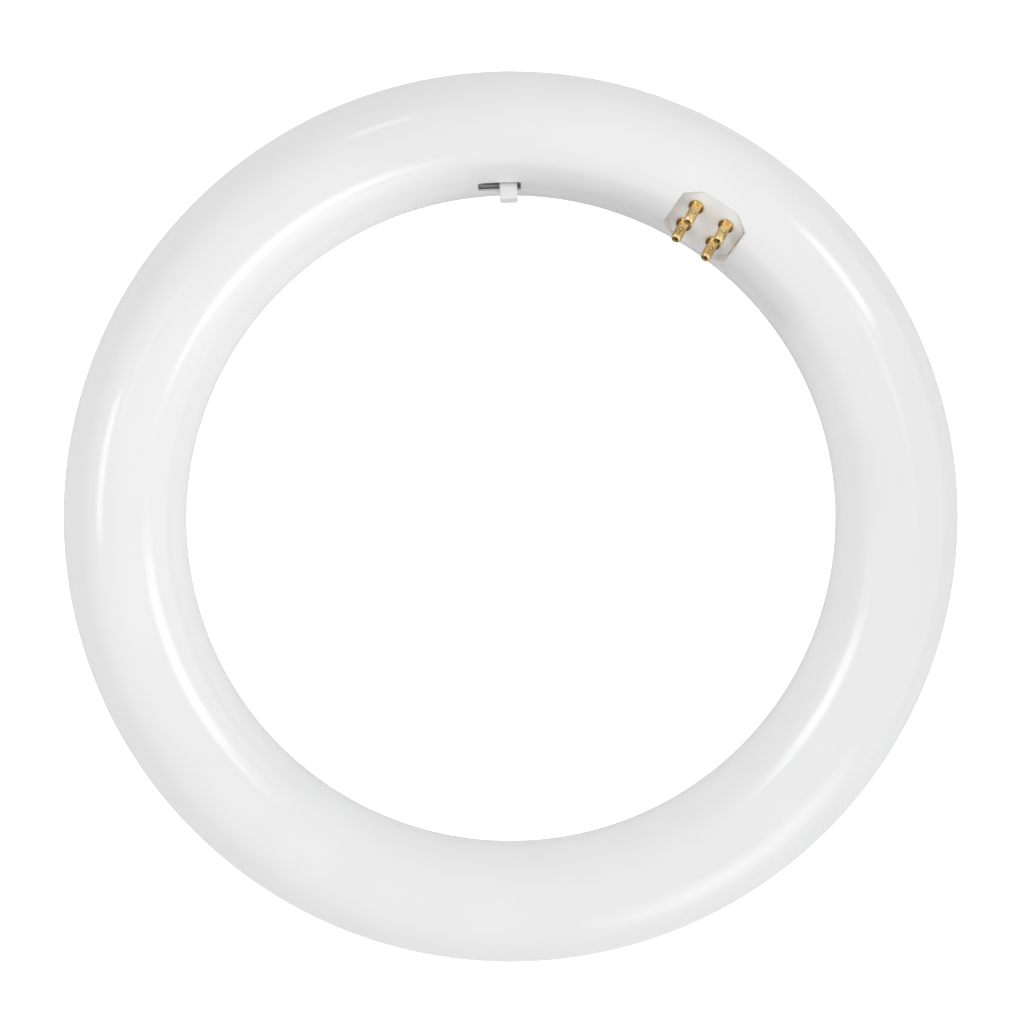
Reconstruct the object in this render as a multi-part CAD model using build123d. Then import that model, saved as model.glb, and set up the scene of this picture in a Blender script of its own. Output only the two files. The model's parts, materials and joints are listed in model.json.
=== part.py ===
from build123d import *
import os
from math import atan, cos, degrees, radians, sin, sqrt

# Circular LED tube for a four-pin lamp holder, with a slide switch for the colour of its light.
# It lies on its front diffuser: the ring's axis is Z, and the pins point inwards and up.

# Ring and tube
ring_radius = 89.0            # ring's axis to the middle of the tube
tube_radius = 14.0
wall = 1.6
lip_depth = 2.0               # tongue of the rear shell, below the seam
lip_thickness = 0.7
lip_clearance = 0.1
seam_chamfer = 0.25

# Self-tapping screws and their posts
screw_radius = 1.0
screw_clearance = 0.15        # in the piece that a screw holds
thread_clearance = 0.05       # in the post that it bites
screw_head_radius = 1.8
screw_head_height = 1.2
board_screw_bite = 4.0
pilot_spare = 0.3             # pilot hole beyond the screw's tip
post_radius = 2.2

# Octagonal pin base
base_azimuth = 57.5
base_elevation = 45.0
base_recess = 2.7             # its face below the tube's surface
base_width = 16.4
base_height = 15.8
base_corner = 3.8
base_thickness = 3.0
base_fit = 0.1
base_ear = 5.0
base_ear_thickness = 1.6
ear_edge = 0.6                # rim of an ear round a screw's head
collar_wall = 1.2             # of the pocket that the shell has round the base

# Contact pins
pin_column_pitch = 7.92
pin_row_pitch = 6.35
pin_radius = 1.175
pin_length = 6.0              # face of the base to the tip
pin_tip_round = 0.5
pin_bore_radius = 0.75
pin_tip_wall = 1.4
pin_fit = 0.05
flange_radius = 1.8
flange_height = 0.5
rivet_radius = 1.6
rivet_height = 0.5
pin_tail = 0.8                # behind the base
crimp_radius = 0.6
crimp_depth = 0.3
crimp_from_face = 2.2

# Slide switch and its window in the wall
switch_azimuth = 92.1
switch_elevation = 29.0
window_skin = 0.7             # wall left in front of the switch
window_play = 0.8             # beyond the knob at the ends of its travel
window_gap = 0.6              # above and below the knob
window_corner = 0.5
knob_width = 4.0
knob_thickness = 2.2
knob_reach = 3.6              # beyond the tube's surface
knob_round = 0.3
knob_edge = 0.15
knob_gap = 0.2                # knob to the housing's front
slider_travel = 4.0
stem_width = 2.4
stem_thickness = 1.0
stem_reach = 2.0              # beyond the tube's surface, in the knob
stem_fit = 0.05
stem_play = 0.5               # beyond the stem at the ends of its travel
housing_length = 12.0
housing_height = 4.8
housing_depth = 4.1
housing_wall = 0.7
housing_fit = 0.15
housing_gap = 0.35            # wall to the housing's front
switch_ear = 4.8
switch_ear_thickness = 1.4
cover_thickness = 1.0
slide_fit = 0.2
carriage_length = 5.4
carriage_depth = 1.6
terminal_count = 4
terminal_width = 0.9
terminal_thickness = 0.5
terminal_length = 3.0         # behind the cover
terminal_head_width = 1.2
terminal_head_length = 2.4
terminal_head_height = 0.2
terminal_fit = 0.1
contact_thickness = 0.25
contact_width = 2.0
contact_lift = 0.15           # contact's feet over the terminals' heads
contact_crown = 0.3           # bends of the contact, as shares of the terminals' pitch
contact_foot = 0.6
contact_tip = 0.95

# Light board
board_thickness = 1.0
board_outer_gap = 0.6         # board's rim to the wall
board_inner_gap = 3.0
board_screw_count = 8
led_pairs = 24                # a warm and a cool one in turn
led_length = 3.5
led_width = 2.8
led_height = 0.7

# Ribs that seat the light board along the inner wall
rib_count = 16
rib_thickness = 1.2
rib_gap = 0.7                 # driver board's edge to a rib

# Driver board, hung from the rear shell's crown
driver_thickness = 1.0
driver_gap = 0.3              # board's edge to the light board's posts
driver_drop = 7.2             # crown of the room to the board's top
driver_lead_room = 10.0       # base's ear to the board's end
lane_edge = 3.2               # board's outer edge to the parts along it
part_gap = 1.5                # between neighbours on the board
headroom_gap = 0.4            # over the tall parts
notch_clearance = 0.6         # round the switch, in the board's inner edge

# Parts of the driver
fuse_length = 9.0
fuse_radius = 1.4
fuse_cap_radius = 1.7
fuse_cap_length = 1.8
rectifier_legs = 2            # on each side
rectifier_leg_pitch = 2.54
chip_legs = 4
chip_leg_pitch = 1.27
chip_length = 4.9
chip_width = 3.9
chip_height = 1.5
chip_leg_reach = 1.0
chip_leg_width = 0.4
chip_leg_thickness = 0.2
film_length = 10.0
film_width = 5.0
film_round = 0.6
choke_radius = 3.0
choke_flange = 1.0
choke_waist = 0.7             # winding inside the flanges' rim
capacitor_radius = 3.0
capacitor_end_round = 0.5
capacitor_groove = 0.4
groove_from_end = 1.6
bulk_length = 12.0
output_length = 9.0
transformer_length = 10.0
transformer_width = 9.0
transformer_leg = 2.0
transformer_bridge = 1.8
core_share = 0.5              # core's thickness, of the bobbin's height
bobbin_wall = 0.6
bobbin_fit = 0.1
diode_length = 4.3
diode_width = 2.6
diode_height = 2.2
diode_leg_width = 1.4
diode_leg_reach = 0.5
component_wire = 0.3          # radius
leg_room = 1.2                # part's body to its leg
leg_bend = 0.6
link_radius = 0.45
link_pitch = 2.5
link_count = 3

# Insulated leads
lead_radius = 0.5
lead_bend = 1.0
lead_entry = 3.0              # into a pin's bore
lead_turn = 0.9               # straight behind a pin's tail
lead_stagger = 1.2            # further, for the leads that pass behind the others
lead_rise = 2.2               # from the board's face
near_pad = -0.8               # outwards from the middle of the board
switch_lead_turn = 1.6        # straight behind a terminal
switch_lead_run = 2.4         # outwards, to under its pad

# Worked out from the sizes above
room_radius = tube_radius - wall
base_face = tube_radius - base_recess
ear_width = 2 * (screw_head_radius + ear_edge)
base_span = base_width + 2 * base_ear
base_ear_hole = (base_span - ear_width) / 2
base_ear_front = base_ear_thickness - base_thickness
tail_end = -base_thickness - pin_tail
window_length = knob_width + slider_travel + 2 * window_play
window_height = knob_thickness + 2 * window_gap
flat_level = tube_radius - window_skin
housing_front = flat_level - housing_gap
housing_back = housing_front - housing_depth
switch_span = housing_length + 2 * switch_ear
switch_ear_hole = (switch_span - housing_height) / 2
carriage_height = housing_height - 2 * housing_wall - 2 * slide_fit
carriage_front = housing_front - housing_wall - slide_fit
carriage_back = carriage_front - carriage_depth
terminal_pitch = slider_travel / 2
terminal_end = housing_back - cover_thickness - terminal_length
board_outer = room_radius - board_outer_gap
board_inner = room_radius - board_inner_gap
board_screw_reach = board_outer - screw_head_radius - board_outer_gap / 2
driver_top = room_radius - driver_drop
driver_bottom = driver_top - driver_thickness
driver_width = 2 * (board_screw_reach - post_radius - driver_gap)
outer_lane = driver_width / 2 - lane_edge
rib_reach = driver_width / 2 + rib_gap
base_half_angle = degrees(atan(base_span / 2 / (ring_radius - room_radius)))
switch_half_angle = degrees(atan(switch_span / 2 / (ring_radius - room_radius)))
driver_start = base_azimuth + base_half_angle + degrees(driver_lead_room / ring_radius)


def wall_plane(azimuth, elevation, distance=0.0):
    """Plane square to the inner wall, with X clockwise along the ring, Y up the wall and Z inwards."""
    slope = radians(elevation)
    normal = Vector(-cos(slope), 0, sin(slope)).rotate(Axis.Z, azimuth)
    middle = Vector(ring_radius, 0, 0).rotate(Axis.Z, azimuth)
    clockwise = Vector(0, -1, 0).rotate(Axis.Z, azimuth)
    return Plane(middle + normal * distance, x_dir=clockwise, z_dir=normal)


def level_plane(azimuth, reach=0.0, height=0.0):
    """Level plane in the tube, with X outwards from the ring's axis and Y along the ring."""
    origin = Vector(ring_radius + reach, 0, height).rotate(Axis.Z, azimuth)
    outwards = Vector(1, 0, 0).rotate(Axis.Z, azimuth)
    return Plane(origin, x_dir=outwards, z_dir=(0, 0, 1))


def spot(plane, x=0.0, y=0.0, height=0.0):
    """The same plane, moved in its own directions."""
    return Plane(plane.from_local_coords(Vector(x, y, height)), x_dir=plane.x_dir, z_dir=plane.z_dir)


def prism(plane, outline, start, end):
    """Outline on a plane, carried from one height to another."""
    return extrude(plane.offset(start) * outline, amount=end - start)


def ring_of(section):
    """Section drawn round the middle of the tube, turned about the ring's axis."""
    return revolve(Plane.XZ * Pos(ring_radius, 0) * section, Axis.Z)


def row_of(start, lengths):
    """Middles of parts set out one after another from a place along the driver board."""
    middles = []
    edge = start
    for length in lengths:
        middles.append(edge + part_gap + length / 2)
        edge += part_gap + length
    return middles


def spread(count, pitch):
    """Places of a centred row."""
    return [(i - (count - 1) / 2) * pitch for i in range(count)]


def apart(azimuth, other):
    """Angle between two azimuths, the short way round."""
    return abs((azimuth - other + 180) % 360 - 180)


def along(arc):
    """Azimuth of a place that far along the driver board."""
    return driver_start + degrees(arc / ring_radius)


base_plane = wall_plane(base_azimuth, base_elevation, base_face)
switch_plane = wall_plane(switch_azimuth, switch_elevation)
switch_arc = radians(switch_azimuth - driver_start) * ring_radius
notch_half_width = switch_span / 2 + notch_clearance
pad_arc, first_post_arc, fuse_arc, rectifier_arc = row_of(
    0, [2 * lead_radius, 2 * post_radius, fuse_length, chip_length]
)
(film_arc, choke_arc, bulk_arc, middle_post_arc, chip_arc, transformer_arc, diode_arc, output_arc,
 link_arc, last_post_arc) = row_of(
    switch_arc + notch_half_width,
    [film_length, 2 * choke_radius, bulk_length, 2 * post_radius, chip_length, transformer_length,
     diode_length, output_length, 2 * link_radius, 2 * post_radius],
)
driver_length = last_post_arc + post_radius + part_gap
driver_post_arcs = [first_post_arc, middle_post_arc, last_post_arc]


# Screws

def screw(plane, grip, bite):
    """Screw driven up the plane's Z, with its head's underside on the plane."""
    head = prism(plane, Circle(screw_head_radius), -screw_head_height, 0)
    return head + prism(plane, Circle(screw_radius), 0, grip + bite)


def clear_hole(plane, grip):
    return prism(plane, Circle(screw_radius + screw_clearance), 0, grip)


def pilot_hole(plane, grip, bite):
    return prism(plane, Circle(screw_radius + thread_clearance), grip, grip + bite + pilot_spare)


def base_screw_planes():
    return [spot(base_plane, side * base_ear_hole, 0, -base_thickness) for side in (-1, 1)]


def switch_screw_planes():
    back = housing_back - cover_thickness
    return [spot(switch_plane, side * switch_ear_hole, 0, back) for side in (-1, 1)]


def board_screw_planes():
    step = 360 / board_screw_count
    azimuths = [(i + 0.5) * step for i in range(board_screw_count)]
    return [level_plane(azimuth, board_screw_reach, -board_thickness) for azimuth in azimuths]


def driver_screw_planes():
    return [level_plane(along(arc), outer_lane, driver_bottom) for arc in driver_post_arcs]


base_bite = room_radius - (base_face - base_thickness + base_ear_thickness)
switch_grip = cover_thickness + switch_ear_thickness
switch_bite = room_radius - (housing_back + switch_ear_thickness)
screw_sets = {
    "base_screws": (base_screw_planes(), base_ear_thickness, base_bite),
    "switch_screws": (switch_screw_planes(), switch_grip, switch_bite),
    "led_board_screws": (board_screw_planes(), board_thickness, board_screw_bite),
    "driver_screws": (driver_screw_planes(), driver_thickness, board_screw_bite),
}


# Shells

def wall_half(side):
    """Half of the tube's wall, above the seam for side 1 and below it for side -1."""
    band = Circle(tube_radius) - Circle(room_radius)
    section = band & Pos(0, side * tube_radius / 2) * Rectangle(2 * tube_radius, tube_radius)
    groove = Rot(0, 0, 45) * Rectangle(seam_chamfer * sqrt(2), seam_chamfer * sqrt(2))
    return section - Pos(-tube_radius, 0) * groove - Pos(tube_radius, 0) * groove


def lip_section(side):
    tongue = Rectangle(lip_thickness, lip_depth)
    return Pos(side * (room_radius + lip_thickness / 2), -lip_depth / 2) * tongue


def rebate_section(side):
    """Room for the rear shell's lip, open to the inside."""
    width = wall + lip_thickness + lip_clearance
    depth = lip_depth + lip_clearance
    middle = room_radius + lip_thickness + lip_clearance - width / 2
    return Pos(side * middle, -depth / 2) * Rectangle(width, depth)


def octagon(spare=0.0):
    """Outline of the pin base, widened all round for clearance."""
    outline = Rectangle(base_width + 2 * spare, base_height + 2 * spare)
    return chamfer(outline.vertices(), base_corner + spare * (2 - sqrt(2)))


def base_collar():
    """Wall round the pocket, from the tube's wall to the base's ears."""
    return prism(base_plane, octagon(base_fit + collar_wall), base_ear_front, tube_radius)


def base_opening():
    """Way through the wall for the base, and the recess over it, open along the pins and upwards."""
    face = base_plane * octagon(base_fit)
    seat = extrude(face, amount=-base_thickness)
    along_pins = extrude(face, amount=tube_radius)
    upwards = extrude(face, amount=tube_radius, dir=(0, 0, 1))
    return seat + along_pins + upwards


def switch_window():
    """Window for the knob, and the flat behind it that takes the housing's front."""
    window = RectangleRounded(window_length, window_height, window_corner)
    flat = Rectangle(housing_length + 2 * housing_fit, housing_height + 2 * housing_fit)
    through = prism(switch_plane, window, housing_front, tube_radius + wall)
    return through + prism(switch_plane, flat, housing_back, flat_level)


def shell_posts():
    """Posts from the wall to each piece that is screwed on."""
    posts = []
    for planes, grip, bite in screw_sets.values():
        posts += [prism(plane, Circle(post_radius), grip, tube_radius) for plane in planes]
    return posts


def is_clear(azimuth):
    """True where neither the base nor the switch stands in the way of a rib."""
    rib_angle = degrees(rib_thickness / (ring_radius - room_radius))
    taken = ((base_azimuth, base_half_angle), (switch_azimuth, switch_half_angle))
    return all(apart(azimuth, middle) > half + rib_angle for middle, half in taken)


def shell_ribs():
    """Webs along the inner wall, whose lower edges seat the light board."""
    ribs = []
    length = tube_radius - rib_reach
    outline = Pos(-rib_reach - length / 2, 0) * Rectangle(length, rib_thickness)
    for i in range(rib_count):
        azimuth = i * 360 / rib_count
        if is_clear(azimuth):
            ribs.append(prism(level_plane(azimuth), outline, 0, tube_radius))
    return ribs


def rear_shell():
    shell = ring_of(wall_half(1) + lip_section(-1) + lip_section(1))
    core = Torus(ring_radius, tube_radius - wall / 2)
    shell += [core & piece for piece in shell_posts() + shell_ribs() + [base_collar()]]
    shell -= base_opening()
    shell -= switch_window()
    for planes, grip, bite in screw_sets.values():
        shell -= [pilot_hole(plane, grip, bite) for plane in planes]
    return shell


def front_diffuser():
    return ring_of(wall_half(-1) - rebate_section(-1) - rebate_section(1))


# Pin base and pins

def pin_places():
    """Row by row, the two pins that are nearer the crown first."""
    rows = reversed(spread(2, pin_row_pitch))
    return [(x, y) for y in rows for x in spread(2, pin_column_pitch)]


def pin_base():
    base = prism(base_plane, octagon(), -base_thickness, 0)
    base += prism(base_plane, SlotOverall(base_span, ear_width), -base_thickness, base_ear_front)
    for x, y in pin_places():
        base -= prism(spot(base_plane, x, y), Circle(pin_radius + pin_fit), -base_thickness, 0)
    return base - [clear_hole(plane, base_ear_thickness) for plane in base_screw_planes()]


def contact_pin(x, y):
    """Hollow pin, flanged at the base's face and riveted behind it."""
    plane = spot(base_plane, x, y)
    shank = prism(plane, Circle(pin_radius), tail_end, pin_length)
    tip = shank.edges().sort_by(Axis(plane.origin, plane.z_dir))[-1]
    pin = fillet(tip, pin_tip_round)
    pin += prism(plane, Circle(flange_radius), 0, flange_height)
    pin += prism(plane, Circle(rivet_radius), -base_thickness - rivet_height, -base_thickness)
    pin -= prism(plane, Circle(pin_bore_radius), tail_end, pin_length - pin_tip_wall)
    dent_height = pin_radius + crimp_radius - crimp_depth
    dent = plane.from_local_coords(Vector(0, dent_height, crimp_from_face))
    return pin - Pos(dent) * Sphere(crimp_radius)


def lead(points):
    path = FilletPolyline(*points, radius=lead_bend)
    return sweep(Plane(path @ 0, z_dir=path % 0) * Circle(lead_radius), path=path)


def pin_lead(x, y):
    """Lead from a pin's bore to its pad, on top of the driver board for the upper row, else under it."""
    passes_behind = x > 0
    turn = tail_end - lead_turn - (lead_stagger if passes_behind else 0)
    reach = outer_lane if passes_behind else near_pad
    face, rise = (driver_top, lead_rise) if y > 0 else (driver_bottom, -lead_rise)
    azimuth = along(pad_arc)
    return lead([
        base_plane.from_local_coords(Vector(x, y, tail_end + lead_entry)),
        base_plane.from_local_coords(Vector(x, y, turn)),
        level_plane(azimuth, reach, face + rise).origin,
        level_plane(azimuth, reach, face).origin,
    ])


# Slide switch

def switch_housing():
    outline = Rectangle(housing_length, housing_height)
    hollow = Rectangle(housing_length - 2 * housing_wall, housing_height - 2 * housing_wall)
    slot_length = stem_width + slider_travel + 2 * stem_play
    slot = Rectangle(slot_length, stem_thickness + 2 * slide_fit)
    ear_front = housing_back + switch_ear_thickness
    housing = prism(switch_plane, outline, housing_back, housing_front)
    housing += prism(switch_plane, SlotOverall(switch_span, housing_height), housing_back, ear_front)
    housing -= prism(switch_plane, hollow, housing_back, housing_front - housing_wall)
    housing -= prism(switch_plane, slot, housing_back, housing_front)
    return housing - [clear_hole(plane, switch_grip) for plane in switch_screw_planes()]


def terminal_planes():
    return [spot(switch_plane, x) for x in spread(terminal_count, terminal_pitch)]


def switch_cover():
    back = housing_back - cover_thickness
    cover = prism(switch_plane, SlotOverall(switch_span, housing_height), back, housing_back)
    hole = Rectangle(terminal_width + 2 * terminal_fit, terminal_thickness + 2 * terminal_fit)
    cover -= [prism(plane, hole, back, housing_back) for plane in terminal_planes()]
    return cover - [clear_hole(plane, cover_thickness) for plane in switch_screw_planes()]


def switch_terminal(plane):
    head = Rectangle(terminal_head_width, terminal_head_length)
    blade = prism(plane, Rectangle(terminal_width, terminal_thickness), terminal_end, housing_back)
    return blade + prism(plane, head, housing_back, housing_back + terminal_head_height)


def slider_plane():
    """The slider at the clockwise end of its travel, as it is left."""
    return spot(switch_plane, slider_travel / 2)


def switch_slider():
    """Carriage inside the housing, with the stem that takes the knob."""
    plane = slider_plane()
    carriage = Rectangle(carriage_length, carriage_height)
    stem = Rectangle(stem_width, stem_thickness)
    slider = prism(plane, carriage, carriage_back, carriage_front)
    return slider + prism(plane, stem, carriage_front, tube_radius + stem_reach)


def switch_knob():
    """Tab outside the wall, pushed on the slider's stem."""
    plane = slider_plane()
    outline = RectangleRounded(knob_width, knob_thickness, knob_round)
    back = housing_front + knob_gap
    knob = prism(plane, outline, back, tube_radius + knob_reach)
    rim = knob.faces().sort_by(Axis(plane.origin, plane.z_dir))[-1].edges()
    knob = chamfer(rim, knob_edge)
    socket = Rectangle(stem_width + 2 * stem_fit, stem_thickness + 2 * stem_fit)
    return knob - prism(plane, socket, back, tube_radius + stem_reach)


def switch_contact():
    """Bent strip under the carriage, whose two feet bridge one pair of terminals."""
    top = carriage_back - contact_thickness / 2
    foot = housing_back + terminal_head_height + contact_lift + contact_thickness
    bends = [(contact_tip, (top + foot) / 2), (contact_foot, foot), (contact_crown, top)]
    left = [(-x * terminal_pitch, z) for x, z in bends]
    right = [(x * terminal_pitch, z) for x, z in reversed(bends)]
    plane = slider_plane()
    edge_on = Plane(plane.origin, x_dir=plane.x_dir, z_dir=-plane.y_dir)
    strip = trace(Polyline(*left, *right), line_width=contact_thickness)
    return extrude(edge_on * strip, amount=contact_width / 2, both=True)


def switch_lead(plane):
    """Lead from a terminal's end to the underside of the driver board."""
    end = plane.from_local_coords(Vector(0, 0, terminal_end))
    turn = plane.from_local_coords(Vector(0, 0, terminal_end - switch_lead_turn))
    outwards = Vector(1, 0, 0).rotate(Axis.Z, switch_azimuth)
    under_pad = turn + outwards * switch_lead_run
    pad = Vector(under_pad.X, under_pad.Y, driver_bottom)
    return lead([end, turn, under_pad, pad])


# Light board

def led_board():
    width = board_outer + board_inner
    middle = (board_outer - board_inner) / 2
    board = ring_of(Pos(middle, -board_thickness / 2) * Rectangle(width, board_thickness))
    return board - [clear_hole(plane, board_thickness) for plane in board_screw_planes()]


def leds(turn):
    """Every second light of the ring, under the board, for turn 0 or 1."""
    outline = Rectangle(led_width, led_length)
    step = 360 / (2 * led_pairs)
    azimuths = [(2 * i + turn + 0.5) * step for i in range(led_pairs)]
    planes = [level_plane(azimuth, 0, -board_thickness) for azimuth in azimuths]
    return [prism(plane, outline, -led_height, 0) for plane in planes]


# Driver

def arc_band(start, length, inner, outer, bottom, top):
    """Band that lies along the ring, from one place along the driver board."""
    middle = Pos(ring_radius + (inner + outer) / 2, (bottom + top) / 2)
    section = middle * Rectangle(outer - inner, top - bottom)
    band = revolve(Plane.XZ * section, Axis.Z, degrees(length / ring_radius))
    return Rot(0, 0, along(start)) * band


def notch_reach():
    """Inwards from the middle of the board to the notch's floor, clear of the switch's screws."""
    slope = radians(switch_elevation)
    head_end = housing_back - cover_thickness - screw_head_height
    up_the_wall = (driver_top - head_end * sin(slope)) / cos(slope)
    return head_end * cos(slope) - up_the_wall * sin(slope) - notch_clearance


def driver_board():
    half = driver_width / 2
    board = arc_band(0, driver_length, -half, half, driver_bottom, driver_top)
    notch = Pos(-half, 0) * Rectangle(2 * (half - notch_reach()), 2 * notch_half_width)
    board -= prism(level_plane(switch_azimuth), notch, driver_bottom, driver_top)
    return board - [clear_hole(plane, driver_thickness) for plane in driver_screw_planes()]


def headroom(half_width):
    """Height of a part that fits under the vault, that far each side of the middle."""
    return sqrt(room_radius**2 - half_width**2) - driver_top - headroom_gap


def on_driver(arc, reach=0.0):
    return level_plane(along(arc), reach, driver_top)


def lying_plane(plane, height):
    """Plane square to the ring, at a height over the board, with X up and Z along the ring."""
    return Plane(plane.from_local_coords(Vector(0, 0, height)), x_dir=(0, 0, 1), z_dir=plane.y_dir)


def wire(plane, points):
    """Bare wire through points given in a plane's own directions."""
    path = FilletPolyline(*[plane.from_local_coords(point) for point in points], radius=leg_bend)
    return sweep(Plane(path @ 0, z_dir=path % 0) * Circle(component_wire), path=path)


def fuse_resistor():
    """Capped rod on wire legs, lying along the board."""
    plane = on_driver(fuse_arc, outer_lane)
    lying = lying_plane(plane, fuse_cap_radius)
    foot = fuse_length / 2 - component_wire
    body_end = foot - leg_room
    cap_start = body_end - fuse_cap_length
    fuse = prism(lying, Circle(fuse_radius), -body_end, body_end)
    for side in (-1, 1):
        fuse += prism(lying, Circle(fuse_cap_radius), side * cap_start, side * body_end)
    left = [Vector(0, -foot, 0), Vector(0, -foot, fuse_cap_radius)]
    right = [Vector(0, foot, fuse_cap_radius), Vector(0, foot, 0)]
    return fuse + wire(plane, left + right)


def flat_pack(plane, legs, pitch):
    """Moulded package with a row of flat legs on each side."""
    body = prism(plane, Rectangle(chip_width, chip_length), 0, chip_height)
    width = chip_width + 2 * chip_leg_reach
    for y in spread(legs, pitch):
        body += prism(spot(plane, 0, y), Rectangle(width, chip_leg_width), 0, chip_leg_thickness)
    return body


def bridge_rectifier():
    return flat_pack(on_driver(rectifier_arc, outer_lane), rectifier_legs, rectifier_leg_pitch)


def driver_chip():
    return flat_pack(on_driver(chip_arc), chip_legs, chip_leg_pitch)


def film_capacitor():
    case = prism(on_driver(film_arc), Rectangle(film_width, film_length), 0, headroom(film_width / 2))
    upright = case.edges().filter_by(Axis.Z)
    top = case.faces().sort_by(Axis.Z)[-1].edges()
    return fillet(upright + top, film_round)


def choke():
    """Drum core, with its winding between two flanges."""
    plane = on_driver(choke_arc)
    height = headroom(choke_radius)
    drum = prism(plane, Circle(choke_radius), 0, choke_flange)
    drum += prism(plane, Circle(choke_radius - choke_waist), choke_flange, height - choke_flange)
    return drum + prism(plane, Circle(choke_radius), height - choke_flange, height)


def can_capacitor(arc, length):
    """Aluminium can lying along the board, with a crimped groove and two legs at its end."""
    plane = on_driver(arc)
    foot = component_wire - length / 2
    can_start = foot + component_wire + leg_room
    lying = lying_plane(plane, capacitor_radius)
    can = prism(lying, Circle(capacitor_radius), can_start, length / 2)
    can = fillet(can.edges().filter_by(GeomType.CIRCLE), capacitor_end_round)
    can -= lying.offset(can_start + groove_from_end).location * Torus(capacitor_radius, capacitor_groove)
    for x in spread(2, capacitor_radius):
        upright = [Vector(x, foot, 0), Vector(x, foot, capacitor_radius)]
        can += wire(plane, upright + [Vector(x, can_start, capacitor_radius)])
    return can


def transformer_core():
    """Two E-shaped ferrite halves that meet in a frame with a middle leg."""
    plane = on_driver(transformer_arc)
    height = headroom(transformer_width / 2)
    spare = (1 - core_share) * height / 2
    frame = Rectangle(transformer_width, transformer_length)
    window_width = (transformer_width - 2 * transformer_bridge - transformer_leg) / 2
    window = Rectangle(window_width, transformer_length - 2 * transformer_bridge)
    offset = (transformer_leg + window_width) / 2
    outline = frame - Pos(-offset, 0) * window - Pos(offset, 0) * window
    return prism(plane, outline, spare, height - spare)


def transformer_winding():
    """Wound bobbin that the core's middle leg passes through, standing on the board."""
    height = headroom(transformer_width / 2)
    length = transformer_length - 2 * transformer_bridge - 2 * bobbin_fit
    width = transformer_width - 2 * transformer_bridge - 2 * bobbin_fit
    lying = lying_plane(on_driver(transformer_arc), height / 2)
    flanges = Rectangle(height, width)
    waist = Rectangle(height - 2 * bobbin_wall, width - 2 * bobbin_wall)
    hole = Rectangle(core_share * height + 2 * bobbin_fit, transformer_leg + 2 * bobbin_fit)
    bobbin = prism(lying, waist, -length / 2, length / 2)
    bobbin += prism(lying, flanges, -length / 2, bobbin_wall - length / 2)
    bobbin += prism(lying, flanges, length / 2 - bobbin_wall, length / 2)
    return bobbin - prism(lying, hole, -length / 2, length / 2)


def output_diode():
    plane = on_driver(diode_arc)
    body = prism(plane, Rectangle(diode_width, diode_length), 0, diode_height)
    legs = Rectangle(diode_leg_width, diode_length + 2 * diode_leg_reach)
    return body + prism(plane, legs, 0, chip_leg_thickness)


def led_links():
    """Stiff wires from the driver down to the light board."""
    planes = [level_plane(along(link_arc), reach) for reach in spread(link_count, link_pitch)]
    return [prism(plane, Circle(link_radius), 0, driver_bottom) for plane in planes]


def write_node(name, piece):
    """One STEP file for a node, with the ring's middle plane lifted so that the tube lies on Z = 0."""
    solids = piece if isinstance(piece, list) else [piece]
    shape = Compound(children=[solid for part in solids for solid in part.solids()])
    export_step(Pos(0, 0, tube_radius) * shape, f"parts/{name}.step")


def main():
    os.makedirs("parts", exist_ok=True)
    nodes = {
        "rear_shell": rear_shell(),
        "front_diffuser": front_diffuser(),
        "pin_base": pin_base(),
        "switch_housing": switch_housing(),
        "switch_cover": switch_cover(),
        "switch_terminals": [switch_terminal(plane) for plane in terminal_planes()],
        "switch_slider": switch_slider(),
        "switch_knob": switch_knob(),
        "switch_contact": switch_contact(),
        "switch_leads": [switch_lead(plane) for plane in terminal_planes()],
        "led_board": led_board(),
        "warm_leds": leds(0),
        "cool_leds": leds(1),
        "driver_board": driver_board(),
        "fuse_resistor": fuse_resistor(),
        "bridge_rectifier": bridge_rectifier(),
        "film_capacitor": film_capacitor(),
        "choke": choke(),
        "bulk_capacitor": can_capacitor(bulk_arc, bulk_length),
        "driver_chip": driver_chip(),
        "transformer_core": transformer_core(),
        "transformer_winding": transformer_winding(),
        "output_diode": output_diode(),
        "output_capacitor": can_capacitor(output_arc, output_length),
        "led_links": led_links(),
    }
    for number, (x, y) in enumerate(pin_places(), 1):
        nodes[f"contact_pin_{number}"] = contact_pin(x, y)
        nodes[f"pin_lead_{number}"] = pin_lead(x, y)
    for name, (planes, grip, bite) in screw_sets.items():
        nodes[name] = [screw(plane, grip, bite) for plane in planes]
    for name, piece in nodes.items():
        write_node(name, piece)


if __name__ == "__main__":
    main()
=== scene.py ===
# %% [markdown]
# # A ring-shaped LED tube
# The lamp is a glossy white tube bent into a ring. Its back half holds an octagonal base with four brass pins,
# and a small slide switch for the colour of the light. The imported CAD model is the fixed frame: it is loaded
# first, and everything made below is placed by the same sizes, so nothing has to be fitted by eye.

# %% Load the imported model
import json
from collections import namedtuple
import bpy
import numpy as np
from mathutils import Matrix

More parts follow.
